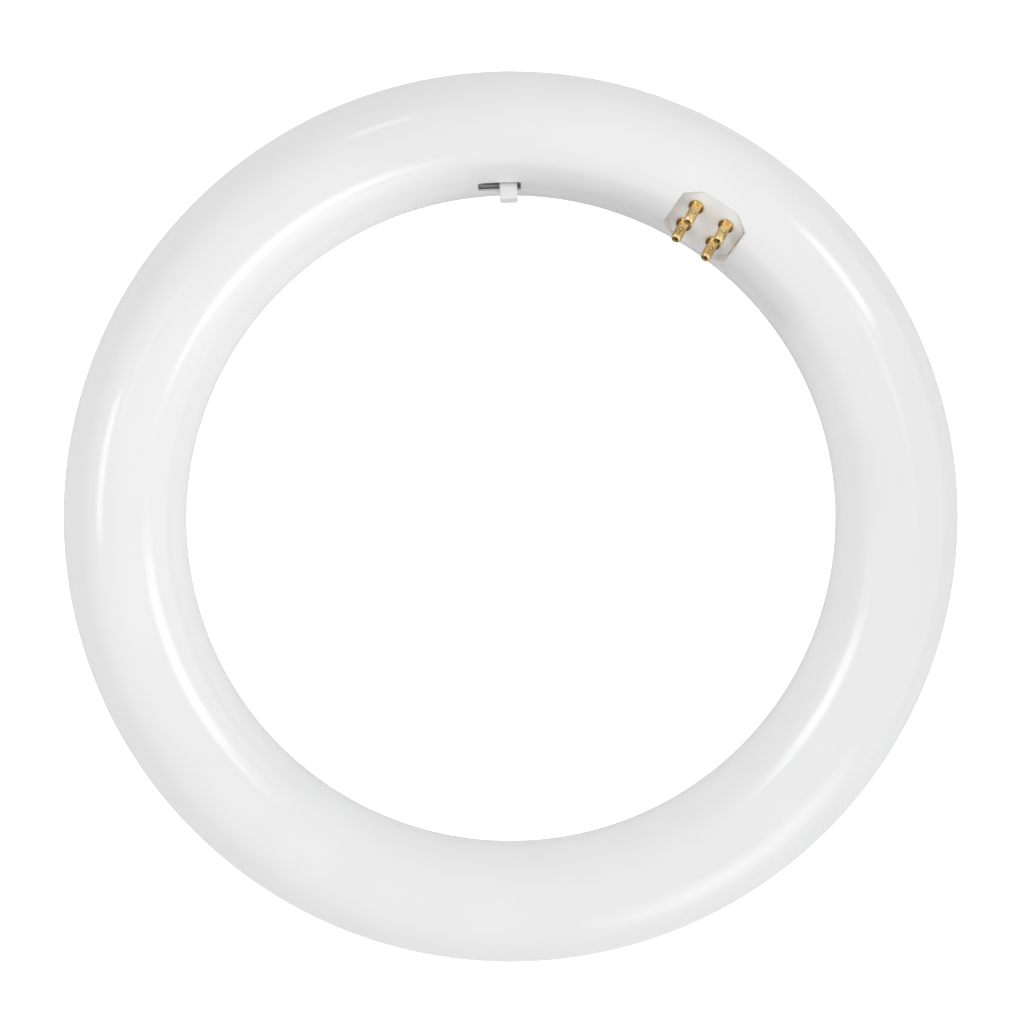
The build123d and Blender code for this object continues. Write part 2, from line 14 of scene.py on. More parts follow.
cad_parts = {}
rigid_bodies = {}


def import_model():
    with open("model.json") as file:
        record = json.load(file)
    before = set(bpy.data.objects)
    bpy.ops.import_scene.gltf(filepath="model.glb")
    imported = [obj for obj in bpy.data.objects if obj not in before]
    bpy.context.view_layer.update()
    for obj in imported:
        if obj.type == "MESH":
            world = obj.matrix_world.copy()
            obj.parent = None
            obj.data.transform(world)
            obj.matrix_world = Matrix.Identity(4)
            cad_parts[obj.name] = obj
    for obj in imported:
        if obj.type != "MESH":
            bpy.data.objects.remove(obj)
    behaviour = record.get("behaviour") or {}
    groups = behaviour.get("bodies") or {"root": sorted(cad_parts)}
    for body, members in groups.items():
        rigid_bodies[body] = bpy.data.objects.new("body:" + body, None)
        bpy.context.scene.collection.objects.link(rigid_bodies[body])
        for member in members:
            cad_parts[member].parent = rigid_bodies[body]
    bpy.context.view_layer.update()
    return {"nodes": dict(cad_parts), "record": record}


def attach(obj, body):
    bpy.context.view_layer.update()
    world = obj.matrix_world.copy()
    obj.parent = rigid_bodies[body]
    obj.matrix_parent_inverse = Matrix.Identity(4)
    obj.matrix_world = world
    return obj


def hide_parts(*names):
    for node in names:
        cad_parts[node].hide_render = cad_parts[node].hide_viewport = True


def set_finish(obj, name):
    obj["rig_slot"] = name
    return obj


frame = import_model()
nodes = frame["nodes"]

# %% [markdown]
# ## Sizes
# Blender works in metres, and a lamp is drawn in millimetres, so every size is written in millimetres times MM.
# The ring lies on its front, with the tube's middle plane one tube radius above the floor.

# %% Sizes shared by several pieces
MM = 0.001
ring_radius = 89 * MM
tube_radius = 14 * MM
wall_thickness = 1.6 * MM
room_radius = tube_radius - wall_thickness
print("ring is", round(2 * (ring_radius + tube_radius) / MM), "mm across")

# %% [markdown]
# ## From numbers to meshes
# A surface is easiest to think of as a grid: two parameters run along its rows and columns, and a formula gives
# the point for each pair. Numpy works the formula out for the whole grid at once. What Blender needs beside the
# points is the list of quads, which only depends on how many rows and columns there are. The same mesh could be
# drawn by hand in Edit Mode, but a formula can be run again when a size changes.

# %% Quads of a grid
def grid_quads(rows, columns, wrap_rows=False, wrap_columns=False):
    """Corner numbers of each quad of a grid that is stored row by row; a wrapped grid joins its ends."""
    numbers = np.arange(rows * columns).reshape(rows, columns)
    if wrap_rows:
        numbers = np.vstack([numbers, numbers[:1]])
    if wrap_columns:
        numbers = np.hstack([numbers, numbers[:, :1]])
    corners = [numbers[:-1, :-1], numbers[1:, :-1], numbers[1:, 1:], numbers[:-1, 1:]]
    return np.stack(corners, axis=-1).reshape(-1, 4)


print("a wrapped 3 by 4 grid has", len(grid_quads(3, 4, wrap_columns=True)), "quads")

# %% Several surfaces as one
same_place = 1e-4 * MM


def together(*surfaces):
    """One (points, quads) pair from several: each one's corner numbers move on by the points before it."""
    counts = np.cumsum([0] + [len(points) for points, _ in surfaces[:-1]])
    points = np.vstack([points for points, _ in surfaces])
    quads = np.vstack([quads + start for (_, quads), start in zip(surfaces, counts)])
    return points, quads


def used_only(points, quads):
    """The points that some quad uses, and the quads with their corners numbered anew."""
    used, numbered = np.unique(quads, return_inverse=True)
    return points[used], numbered.reshape(-1, 4)


def closed_poles(points, quads):
    """Points at the same place become one, so that a row that shrinks to a point is a real pole."""
    keys = np.round(points / same_place).astype(np.int64)
    _, first, number = np.unique(keys, axis=0, return_index=True, return_inverse=True)
    return used_only(points[first], number.ravel()[quads])


print("points less than", same_place / MM, "mm apart can become one")

# %% Rings between two poles
def closed_rings(rings):
    """Grid whose rows are rings of equally many points, between a pole in the middle of the first and the last."""
    first = np.broadcast_to(rings[0].mean(axis=0), rings[0].shape)
    last = np.broadcast_to(rings[-1].mean(axis=0), rings[-1].shape)
    points = np.stack([first, *rings, last])
    quads = grid_quads(len(points), points.shape[1], wrap_columns=True)
    return closed_poles(points.reshape(-1, 3), quads[:, ::-1])


print("a form of rings has a pole at each end")

# %% [markdown]
# ## A piece of the lamp
# Every new piece goes through one function. It fills the mesh, smooths it but keeps real corners sharp, lets the
# piece ride on a body of the CAD model, hides the CAD node it stands for and says whose finish it has. Each piece
# could do this for itself, but then one of them would sooner or later be treated differently.

# %% Make a piece
plain_corner = 40


def in_scene(name, data):
    """New object for a mesh, a light or a camera, linked to the scene at the origin."""
    made = bpy.data.objects.new(name, data)
    bpy.context.scene.collection.objects.link(made)
    return made


def lamp_piece(name, surface, body, node, slot, sharp_angle=plain_corner):
    """Mesh object from (points, quads); a quad with a doubled corner is kept as a triangle."""
    points, quads = surface
    faces = [tuple(dict.fromkeys(quad)) for quad in quads.tolist()]
    mesh = bpy.data.meshes.new(name)
    mesh.from_pydata(points.tolist(), [], [face for face in faces if len(face) > 2])
    mesh.shade_smooth()
    mesh.set_sharp_from_angle(angle=np.radians(sharp_angle))
    made = in_scene(name, mesh)
    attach(made, body)
    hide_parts(node)
    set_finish(made, slot)
    print(name, "has", len(mesh.vertices), "points and", len(mesh.polygons), "faces")
    return made


print("corners of more than", plain_corner, "degrees stay sharp")

# %% [markdown]
# ## The tube as a formula
# A ring-shaped tube is a torus. Its two parameters are the azimuth, round the ring's axis, and the section angle,
# round the tube: 0 degrees looks outwards, 90 up and 180 inwards. Blender has a ready torus, but the openings need
# the formula itself, and the way back as well: from a point to its two angles, and to the wall along a direction.

# %% Torus formulas
search_reach = 8 * MM
halvings = 48


def on_tube(azimuth, section, radius):
    """Ring radius plus the tube's radius times the section's cosine, turned by the azimuth; its sine goes up."""
    reach = ring_radius + radius * np.cos(section)
    height = tube_radius + radius * np.sin(section)
    return np.stack([reach * np.cos(azimuth), reach * np.sin(azimuth), height], axis=-1)


def from_middle(points):
    """How far points lie outwards of the tube's middle, and how far above it."""
    return np.hypot(points[..., 0], points[..., 1]) - ring_radius, points[..., 2] - tube_radius


def tube_angles(points):
    """Azimuth and section angle of points, the way back from on_tube."""
    reach, height = from_middle(points)
    return np.arctan2(points[..., 1], points[..., 0]), np.arctan2(height, reach)


def from_core(points):
    """Distance of points from the circle that runs along the middle of the tube."""
    return np.hypot(*from_middle(points))


def wall_distance(points, directions, radius):
    """How far each point is from a tube of that radius along its direction, found by halving the span."""
    near = np.full(len(points), -search_reach)
    far = np.full(len(points), search_reach)
    for _ in range(halvings):
        middle = (near + far) / 2
        outside = from_core(points + directions * middle[:, None]) > radius
        near = np.where(outside, near, middle)
        far = np.where(outside, middle, far)
    return (near + far) / 2


print("crown of the tube at", on_tube(0.0, np.pi / 2, tube_radius) / MM)

# %% [markdown]
# ## A seat in the inner wall
# The base and the switch both sit square to the inner wall, so each has a small frame of its own: clockwise along
# the ring, up the wall towards the crown, and out of the wall. A parent object could carry such a frame, but with
# plain directions every piece can stay at the origin, as the CAD nodes do.

# %% Frames on the wall
Seat = namedtuple("Seat", "middle clockwise up_wall out_of_wall")
upright = np.array([0, 0, 1.0])


def ring_directions(azimuth):
    """Two level directions at an azimuth: outwards from the ring's axis, and anticlockwise along the ring."""
    outwards = np.array([np.cos(azimuth), np.sin(azimuth), 0])
    return outwards, np.cross(upright, outwards)


def wall_frame(azimuth, elevation):
    """Middle of the tube there, and the directions clockwise, up the wall and out of the wall."""
    outwards, anticlockwise = ring_directions(azimuth)
    middle = ring_radius * outwards + tube_radius * upright
    up_wall = np.sin(elevation) * outwards + np.cos(elevation) * upright
    out_of_wall = -np.cos(elevation) * outwards + np.sin(elevation) * upright
    return Seat(middle, -anticlockwise, up_wall, out_of_wall)


def placed(seat, x, y, height):
    """Points of a wall frame: x clockwise, y up the wall and height out of it, from the tube's middle."""
    x, y, height = (value[..., None] for value in np.broadcast_arrays(x, y, height))
    return seat.middle + x * seat.clockwise + y * seat.up_wall + height * seat.out_of_wall


base_seat = wall_frame(azimuth=np.radians(57.5), elevation=np.radians(45))
switch_seat = wall_frame(azimuth=np.radians(92.1), elevation=np.radians(29))
print("pins point along", np.round(base_seat.out_of_wall, 3))

# %% [markdown]
# ## The back shell's section
# The back shell is a profile carried round the ring. The profile is a closed line: the outer half circle, a small
# chamfer at the seam, the lip that goes into the front shell, and the inner half circle back again. Half a torus
# with a Solidify modifier would have no lip. Both half circles have a point every 3 degrees, so an opening can be
# cut along grid lines on both walls alike.

# %% Profile of the back shell
azimuth_count = 480
section_step = 3
section_degrees = np.arange(0, 180 + section_step, section_step)
seam = 0.12 * MM
seam_angle = np.degrees(np.arcsin(seam / tube_radius))
lip_radius = room_radius + 0.7 * MM
lip_depth = 2 * MM


def arc_profile(degrees, radius):
    """Points at those section angles: radius times the cosine outwards, and times the sine upwards."""
    angle = np.radians(degrees)
    return radius * np.stack([np.cos(angle), np.sin(angle)], axis=-1)


outer_degrees = np.clip(section_degrees, seam_angle, 180 - seam_angle)
lip_steps = np.array([
    [seam - tube_radius, 0],
    [-lip_radius, 0],
    [-lip_radius, -lip_depth],
    [-room_radius, -lip_depth],
])
back_profile = np.vstack([
    arc_profile(outer_degrees, tube_radius),
    lip_steps,
    arc_profile(section_degrees[::-1], room_radius),
    lip_steps[::-1] * [-1, 1],
])
profile_count = len(back_profile)
print("profile has", profile_count, "points")

# %% Carry a profile round the ring
def full_turn(count):
    """Angles of equal steps round a circle; the last step leads back to the first angle."""
    return np.linspace(0, 2 * np.pi, count, endpoint=False)


def round_the_ring(profile):
    """Each profile point, turned to every azimuth: x is added to the ring radius and y to the tube's height."""
    azimuth = full_turn(azimuth_count)[:, None]
    reach = ring_radius + profile[:, 0]
    height = np.broadcast_to(tube_radius + profile[:, 1], (azimuth_count, len(profile)))
    points = np.stack([reach * np.cos(azimuth), reach * np.sin(azimuth), height], axis=-1).reshape(-1, 3)
    return points, grid_quads(azimuth_count, len(profile), wrap_rows=True, wrap_columns=True)


shell_points, shell_quads = round_the_ring(back_profile)
print("plain back shell has", len(shell_quads), "quads")

# %% [markdown]
# ## Openings in the back shell
# A hole is hard to cut cleanly with a Boolean on a glossy surface, because the long thin faces that it leaves show
# in every reflection. Instead a small window of the grid is left out, and rings of points lead from the window's
# border to the rim of the hole, over a rounded edge and down its wall to the window on the inner side. All rings
# have as many points as the border, so the quads between them are one more grid.

# %% Border of a window in the grid
def window_loop(azimuths, sections):
    """Grid numbers round a window, anticlockwise seen from outside, starting at its lowest azimuth and section."""
    along, across = np.arange(*azimuths), np.arange(*sections)
    sides = [
        (along, sections[0]),
        (azimuths[1], across),
        (along[::-1] + 1, sections[1]),
        (azimuths[0], across[::-1] + 1),
    ]
    return np.concatenate([np.stack(np.broadcast_arrays(*side), axis=-1) for side in sides])


base_window = ((66, 87), (31, 59))
switch_window = ((116, 130), (46, 55))
base_loop = window_loop(*base_window)
switch_loop = window_loop(*switch_window)
print("windows have", len(base_loop), "and", len(switch_loop), "border points")

# %% The same window on both walls
def inner_number(section):
    """Number in the profile of the inner wall's point at a section number; that wall is stored backwards."""
    return profile_count - len(lip_steps) - 1 - section


def border_numbers(loop):
    """Numbers of the shell's points along a border, on the outer wall and on the inner wall."""
    start = loop[:, 0] * profile_count
    return start + loop[:, 1], start + inner_number(loop[:, 1])


def window_quads(azimuths, sections):
    """True for the quads of the back shell that lie in the window, on its outer or its inner wall."""
    along, across = np.divmod(np.arange(len(shell_quads)), profile_count)
    inner = inner_number(across)
    in_azimuth = (along >= azimuths[0]) & (along < azimuths[1])
    in_outer = (across >= sections[0]) & (across < sections[1])
    in_inner = (inner > sections[0]) & (inner <= sections[1])
    return in_azimuth & (in_outer | in_inner)


print(window_quads(*base_window).sum(), "quads lie in the base's window")

# %% Rings from a window's border to a rim
border_steps = 6
edge_steps = 5


def unit(vectors):
    """Vectors divided by their own lengths."""
    return vectors / np.linalg.norm(vectors, axis=-1, keepdims=True)


def rounded_corner(start, corner, end, share):
    """Quadratic curve from start to end, whose middle control point is the sharp corner."""
    return (1 - share) ** 2 * start + 2 * share * (1 - share) * corner + share**2 * end


def tube_normal(azimuth, section):
    """Direction out of the tube: from the point on it to the one a millimetre further out."""
    return (on_tube(azimuth, section, tube_radius + MM) - on_tube(azimuth, section, tube_radius)) / MM


def rim_rings(loop, rim, wall_directions, wall_depths, edge):
    """Rings on the tube from the border to the rim, blended in the two angles, then a rounded edge."""
    along = np.roll(rim, -1, axis=0) - np.roll(rim, 1, axis=0)
    away = unit(np.cross(along, tube_normal(*tube_angles(rim))))
    start_azimuth, start_section = tube_angles(rim + away * edge[:, None])
    border_azimuth = loop[:, 0] * 2 * np.pi / azimuth_count
    border_section = np.radians(section_degrees[loop[:, 1]])
    share = np.linspace(0, 1, border_steps + 1)[1:, None]
    on_wall = on_tube(
        border_azimuth + share * (start_azimuth - border_azimuth),
        border_section + share * (start_section - border_section),
        tube_radius,
    )
    wall_start = rim - wall_directions * np.minimum(edge, wall_depths)[:, None]
    bend = np.linspace(0, 1, edge_steps + 1)[1:, None, None]
    return np.concatenate([on_wall, rounded_corner(on_wall[-1], rim, wall_start, bend)])


print("a rim's edge is a quadratic curve of", edge_steps, "steps")

# %% Opening that joins the outer and the inner wall
def blend_rings(first, last, steps):
    """Rings that lead from one ring to another in equal steps, without the first."""
    share = np.linspace(0, 1, steps + 1)[1:, None, None]
    return first + share * (last - first)


def opening_quads(loop, rings, start):
    """Quads from the border on the outer wall, through the rings, to the border on the inner wall."""
    outer, inner = border_numbers(loop)
    between = start + np.arange(len(rings) * len(loop)).reshape(len(rings), len(loop))
    numbers = np.vstack([outer, between, inner])
    quads = grid_quads(*numbers.shape, wrap_columns=True)
    return numbers.ravel()[quads[:, [0, 3, 2, 1]]]


print("openings share their border points with the shell")

# %% [markdown]
# ## The pocket for the base
# The base is an octagon, 45 degrees up the inner wall and a little below the tube's surface. The quickest pocket
# would be the octagon pushed straight in along the pins. But a mould has to let go of the pocket straight upwards,
# so its upper walls rise upright, and only its lower walls follow the pins.

# %% Octagon of the base
base_face = tube_radius - 2.7 * MM
base_half_width = 8.2 * MM
base_half_height = 7.9 * MM
base_corner = 3.8 * MM
corner_places = [4, 17, 27, 43, 53, 66, 76, 92]


def round_border(at_corners):
    """Values at the octagon's corners, carried in equal steps along its sides to every point of the border."""
    count = len(base_loop)
    return np.interp(np.arange(count), corner_places, at_corners, period=count)


def octagon_sizes(spare):
    """Half width, half height and cut corner of the base, with every side moved outwards by spare."""
    return base_half_width + spare, base_half_height + spare, base_corner + spare * (2 - np.sqrt(2))


def octagon(spare):
    """Points round the base's octagon, widened by spare: straight lines between its corners."""
    wide, high, cut = octagon_sizes(spare)
    corner_x = np.array([1, -1, -1, -1, -1, 1, 1, 1]) * (wide - cut * np.array([1, 1, 0, 0, 1, 1, 0, 0]))
    corner_y = np.array([1, 1, 1, -1, -1, -1, -1, 1]) * (high - cut * np.array([0, 0, 1, 1, 0, 0, 1, 1]))
    return round_border(corner_x), round_border(corner_y)


print("octagon spans", [round(np.ptp(side) / MM, 1) for side in octagon(0)], "mm")

# %% Rings of the pocket
base_gap = 0.05 * MM
pocket_edge = 0.35 * MM
pocket_edge_share = 0.6
face_ring = placed(base_seat, *octagon(base_gap), base_face)
upper_share = round_border([1, 1, 1, 0, 0, 0, 0, 1])[:, None]
pocket_directions = unit(base_seat.out_of_wall + upper_share * (upright - base_seat.out_of_wall))
pocket_depths = wall_distance(face_ring, pocket_directions, tube_radius)
pocket_rim = face_ring + pocket_directions * pocket_depths[:, None]
pocket_edges = np.minimum(pocket_edge, pocket_edge_share * pocket_depths)
pocket_wall = rim_rings(base_loop, pocket_rim, pocket_directions, pocket_depths, pocket_edges)
print("pocket is", np.round(pocket_depths.min() / MM, 2), "to", np.round(pocket_depths.max() / MM, 2), "mm deep")

# %% Collar behind the pocket
collar_level = base_face - 1.4 * MM
collar_wall = 1.2 * MM
collar_shares = np.linspace(0.1, 1, 19)[:, None, None]
least_foot = 0.05 * MM
collar_end = placed(base_seat, *octagon(base_gap), collar_level)
collar_outside = placed(base_seat, *octagon(base_gap + collar_wall), collar_level)
collar_widths = collar_shares * (collar_outside - collar_end)
in_room = (from_core(collar_end + collar_widths) < room_radius).sum(axis=0)
collar_rim = collar_end + collar_widths[np.maximum(in_room - 1, 0), np.arange(len(base_loop))]
outwards = np.broadcast_to(base_seat.out_of_wall, collar_rim.shape)
foot_heights = np.maximum(wall_distance(collar_rim, outwards, room_radius), least_foot)
collar_foot = collar_rim + outwards * foot_heights[:, None]
pocket_rings = np.concatenate([
    pocket_wall,
    blend_rings(pocket_wall[-1], face_ring, 3),
    blend_rings(face_ring, collar_end, 2),
    blend_rings(collar_end, collar_rim, 1),
    blend_rings(collar_rim, collar_foot, 2),
    blend_rings(collar_foot, shell_points[border_numbers(base_loop)[1]], 3)[:-1],
])
collar_width = np.linalg.norm(collar_rim - collar_end, axis=1).max()
print("collar is", np.round(collar_width / MM, 2), "mm wide at its corners")

# %% [markdown]
# ## The switch's window
# The switch shows through a slot with rounded corners. Behind it the wall is cut flat, so that the switch's housing
# can lie against it with a small gap, which shows as a dark line under the grey front. A Bevel modifier could round
# the rim, but here the rim's curve is part of the rings, so the gloss runs over it without a break.

# %% Slot and flat
flat_level = tube_radius - 0.7 * MM
slot_half_size, slot_corner, slot_edge = np.array([4.8, 1.7]) * MM, 0.5 * MM, 0.25 * MM
flat_half_size, flat_corner = np.array([6.15, 2.55]) * MM, 0.1 * MM


def rounded_box(half_size, corner):
    """Window border squeezed to a box with round corners: clamp to the core box, then step out by the corner."""
    low, high = np.array(switch_window).T
    share = 2 * (switch_loop - low) / (high - low) - 1
    point = -np.sin(share * np.pi / 2) * half_size
    core = np.clip(point, corner - half_size, half_size - corner)
    return (core + corner * unit(point - core)).T


slot_end = placed(switch_seat, *rounded_box(slot_half_size, slot_corner), flat_level)
flat_ring = placed(switch_seat, *rounded_box(flat_half_size, flat_corner), flat_level)
print("slot is", 2 * slot_half_size / MM, "mm, and the flat behind it", 2 * flat_half_size / MM)

# %% Rings of the window
slot_directions = np.broadcast_to(switch_seat.out_of_wall, slot_end.shape)
slot_depths = wall_distance(slot_end, slot_directions, tube_radius)
slot_rim = slot_end + slot_directions * slot_depths[:, None]
slot_wall = rim_rings(switch_loop, slot_rim, slot_directions, slot_depths, np.full(len(slot_rim), slot_edge))
flat_back = flat_ring + slot_directions * wall_distance(flat_ring, slot_directions, room_radius)[:, None]
slot_rings = np.concatenate([
    slot_wall,
    blend_rings(slot_wall[-1], slot_end, 2),
    blend_rings(slot_end, flat_ring, 2),
    blend_rings(flat_ring, flat_back, 2),
    blend_rings(flat_back, shell_points[border_numbers(switch_loop)[1]], 3)[:-1],
])
print("slot is", np.round(slot_depths.mean() / MM, 2), "mm deep")

# %% [markdown]
# ## Posts and ribs behind the wall
# The shell is moulded with posts on its inside, each with a pilot hole for a screw, and with thin ribs along the
# inner wall that seat the light board. A post is one run of rings: from the end of its hole to the rim, and on
# along the outside until every point is half-way into the wall. So it meets the curved wall without a Boolean.

# %% One post
post_radius = 2.2 * MM
pilot_radius = 1.05 * MM
post_sides = 32
in_the_wall = room_radius + 0.6 * MM


def post(start, axis, side, pilot_depth):
    """Circles about an axis: the pilot hole's end and start, the rim, and the outside carried on into the wall."""
    turn = full_turn(post_sides)[:, None]
    circle = np.cos(turn) * side + np.sin(turn) * np.cross(axis, side)
    bore, rim, depth = start + pilot_radius * circle, start + post_radius * circle, pilot_depth * axis
    reach = wall_distance(rim + depth, np.broadcast_to(axis, rim.shape), in_the_wall)
    return closed_rings([bore + depth, bore, rim, rim + depth + reach[:, None] * axis])


print("a post is", 2 * post_radius / MM, "mm thick")

# %% Posts
board_degrees, board_reach = np.arange(22.5, 360, 45), 9.7 * MM
driver_degrees, driver_reach, driver_height = [77.71, 122.74, 150.1], 4 * MM, 5.2 * MM
board_pilot, base_pilot, switch_pilot = 4.3 * MM, 2.8 * MM, 2.45 * MM
base_screw_x, switch_screw_x = 10.8 * MM, 8.4 * MM
switch_post_level = 10.25 * MM


def in_tube(azimuth, reach, height):
    """Points at an azimuth: reach outwards from the tube's middle, and height above it."""
    outwards, _ = ring_directions(azimuth)
    return np.multiply.outer(ring_radius + reach, outwards) + np.multiply.outer(tube_radius + height, upright)


starts = [in_tube(azimuth, board_reach, 0) for azimuth in np.radians(board_degrees)]
starts += [in_tube(azimuth, driver_reach, driver_height) for azimuth in np.radians(driver_degrees)]
posts = [post(start, upright, np.array([1.0, 0, 0]), board_pilot) for start in starts]
for seat, x, level, pilot in [
    (base_seat, base_screw_x, collar_level, base_pilot),
    (switch_seat, switch_screw_x, switch_post_level, switch_pilot),
]:
    posts += [post(placed(seat, side * x, 0, level), seat.out_of_wall, seat.clockwise, pilot) for side in (-1, 1)]
print(len(posts), "posts")

# %% Ribs
rib_reach = -7.9 * MM
rib_half_thickness = 0.6 * MM
rib_arc_count = 12


def rib(azimuth):
    """Section between the rib's edge, the middle plane and an arc in the wall, on both sides of the rib."""
    angle = np.linspace(np.arccos(rib_reach / in_the_wall), np.pi, rib_arc_count)
    reach = np.append(rib_reach, in_the_wall * np.cos(angle))
    height = np.append(0, in_the_wall * np.sin(angle))
    section = in_tube(azimuth, reach, height)
    along = rib_half_thickness * ring_directions(azimuth)[1]
    return closed_rings([section + along, section - along])


rib_degrees = np.arange(0, 360, 22.5)
beside_fittings = np.isin(rib_degrees, [67.5, 90])
ribs = [rib(azimuth) for azimuth in np.radians(rib_degrees[~beside_fittings])]
print(len(ribs), "ribs, none behind the base or the switch")

# %% Back shell
kept = ~(window_quads(*base_window) | window_quads(*switch_window))
pocket_start = len(shell_points)
slot_start = pocket_start + pocket_rings[..., 0].size
back_points = np.vstack([shell_points, pocket_rings.reshape(-1, 3), slot_rings.reshape(-1, 3)])
back_quads = np.vstack([
    shell_quads[kept],
    opening_quads(base_loop, pocket_rings, pocket_start),
    opening_quads(switch_loop, slot_rings, slot_start),
])
back_surface = together(used_only(back_points, back_quads), *posts, *ribs)
lamp_piece("back_shell", back_surface, "lamp", "rear_shell", "rear_white", sharp_angle=32)

# %% [markdown]
# ## The front shell
# The front half gives the light. It could be the back shell mirrored, but it has no openings, and a rebate along
# each edge where the other has its lip. So it gets a profile of its own: the lower half circle, with the same
# chamfer at the seam. The two chamfers make the fine line round the ring.

# %% Front shell
inner_count = 41
rebate_gap = 0.1 * MM
rebate_radius = lip_radius + rebate_gap
rebate_depth = lip_depth + rebate_gap
rebate_angle = np.degrees(np.arcsin(rebate_depth / room_radius))
rebate_steps = np.array([[tube_radius - seam, 0], [rebate_radius, 0], [rebate_radius, -rebate_depth]])
inner_degrees = np.linspace(360 - rebate_angle, 180 + rebate_angle, inner_count)
front_profile = np.vstack([
    arc_profile(360 - outer_degrees[::-1], tube_radius),
    rebate_steps,
    arc_profile(inner_degrees, room_radius),
    rebate_steps[::-1] * [-1, 1],
])
lamp_piece("front_shell", round_the_ring(front_profile), "lamp", "front_diffuser", "diffuser_white")

# %% [markdown]
# ## Turned forms
# A pin is a profile turned about its axis. Blender's Screw modifier turns a profile too, but worked out as a grid,
# the turned form can still be dented. A corner of the profile becomes a small curve first, because an edge without
# any roundness never catches the light.

# %% Rounded profiles
def rounded_profile(corners, radii, spacing):
    """Polyline whose inner corners become quadratic curves, with further points along its long runs."""
    bent = corners[1:-1]
    start = bent + unit(corners[:-2] - bent) * radii[:, None]
    end = bent + unit(corners[2:] - bent) * radii[:, None]
    share = np.linspace(0, 1, edge_steps + 1)[:, None]
    bends = rounded_corner(start[:, None], bent[:, None], end[:, None], share)
    line = np.vstack([corners[:1], bends.reshape(-1, 2), corners[-1:]])
    length = np.concatenate([[0], np.cumsum(np.linalg.norm(np.diff(line, axis=0), axis=1))])
    marks = np.unique(np.round(np.concatenate([length, np.arange(0, length[-1], spacing)]), 9))
    return np.stack([np.interp(marks, length, line[:, 0]), np.interp(marks, length, line[:, 1])], axis=-1)


square = np.array([[0, 0], [1, 0], [1, 1]]) * MM
print("a square corner becomes", len(rounded_profile(square, np.array([0.2 * MM]), 5 * MM)), "points")

# %% [markdown]
# ## Contact pins
# Each brass pin is drawn from tube: a flange lies on the base, the tip is rolled in to a small hole, and a punch
# mark holds the wire inside. The mark could be a ball cut out of the shank, but a smooth dip in the radius leaves
# the shank one clean surface. The profile ends where it starts, so turning it gives a closed, hollow pin.

# %% Pin profile
tip_hole, bore, shank, rivet, flange = 0.3, 0.75, 1.175, 1.6, 1.8
pin_corners = MM * np.array([
    # radius, height above the base's face, length of the corner's curve
    [tip_hole, 5.6, 0],
    [tip_hole, 4.6, 0.05],
    [bore, 4.6, 0.1],
    [bore, -3.8, 0.1],
    [shank, -3.8, 0.1],
    [shank, -3.5, 0.1],
    [rivet, -3.5, 0.15],
    [rivet, -3.0, 0.15],
    [shank, -3.0, 0.05],
    [shank, 0.0, 0.05],
    [flange, 0.0, 0.05],
    [flange, 0.5, 0.15],
    [shank, 0.5, 0.1],
    [shank, 6.0, 0.75],
    [tip_hole, 6.0, 0.1],
    [tip_hole, 5.6, 0],
])
pin_profile = rounded_profile(pin_corners[:, :2], pin_corners[1:-1, 2], spacing=0.16 * MM)
print("pin profile has", len(pin_profile), "points")

# %% Pins
pin_turns = 72
pin_x, pin_y = 3.96 * MM, 3.175 * MM
mark_height, mark_radius, mark_depth = 3.3 * MM, 0.62 * MM, 0.32 * MM
outer_skin = 1.1 * MM


def contact_pin(x, y):
    """Radius of the profile less a round dip at the punch mark, turned about the pin's axis."""
    turn = full_turn(pin_turns)
    radius, height = pin_profile[:, :1], pin_profile[:, 1:]
    sideways, upwards = radius * np.cos(turn), radius * np.sin(turn)
    punched = (radius > outer_skin) & (np.sin(turn) > 0)
    from_mark = (sideways**2 + (height - mark_height) ** 2) / mark_radius**2
    dip = np.where(punched, mark_depth * np.clip(1 - from_mark, 0, 1) ** 2, 0)
    smaller = 1 - dip / radius
    points = placed(base_seat, x + sideways * smaller, y + upwards * smaller, base_face + height)
    quads = grid_quads(len(pin_profile), pin_turns, wrap_columns=True)
    return closed_poles(points.reshape(-1, 3), quads[:, ::-1])


pin_places = [(x, y) for y in (pin_y, -pin_y) for x in (-pin_x, pin_x)]
pins = [
    lamp_piece(f"pin_{number}", contact_pin(*place), "lamp", f"contact_pin_{number}", "pin_brass")
    for number, place in enumerate(pin_places, 1)
]

# %% [markdown]
# ## Base plate
# The plate is moulded in pale grey plastic, with a hole for each pin and a soft edge round its face. Two ears
# behind the wall take screws. Such a form is made of layers: the same outline again and again, each time at another
# height and drawn in by another inset. A hole is easy where a form has just one, because rings can lead from the
# hole to the outline. So instead of a Boolean, the plate is made as four quarters with a hole each, and the
# quarters share the points where they meet.

# %% Layered forms
def soft_edges(low, high, edge):
    """Layers from low to high with an elliptic edge at each end: inset by 1 - sine as the height nears the end."""
    turn = np.linspace(0, np.pi / 2, edge_steps + 1)
    insets, rises = edge * (1 - np.sin(turn)), edge * (1 - np.cos(turn))
    return [*zip(insets, low + rises), *zip(insets[::-1], high - rises[::-1])]


def layered(outline, seat, layers):
    """Outline of each layer's inset, placed at its height."""
    return [placed(seat, *outline(inset), height) for inset, height in layers]


def drilled(outline, hole, radius, layers):
    """Rings up the hole's wall, out to the outline and down its layers; the hole's points face the outline's."""
    (_, low), (inset, high) = layers[0], layers[-1]
    middle = np.array(hole)[:, None]
    away = outline(inset) - middle
    around = middle + radius * away / np.linalg.norm(away, axis=0)
    bored = [placed(base_seat, *around, height) for height in (low, high)]
    points = np.stack(bored + layered(outline, base_seat, layers[::-1]))
    return points.reshape(-1, 3), grid_quads(*points.shape[:2], wrap_rows=True, wrap_columns=True)


print("two soft edges make", len(soft_edges(0, 1, 0.1)), "layers")

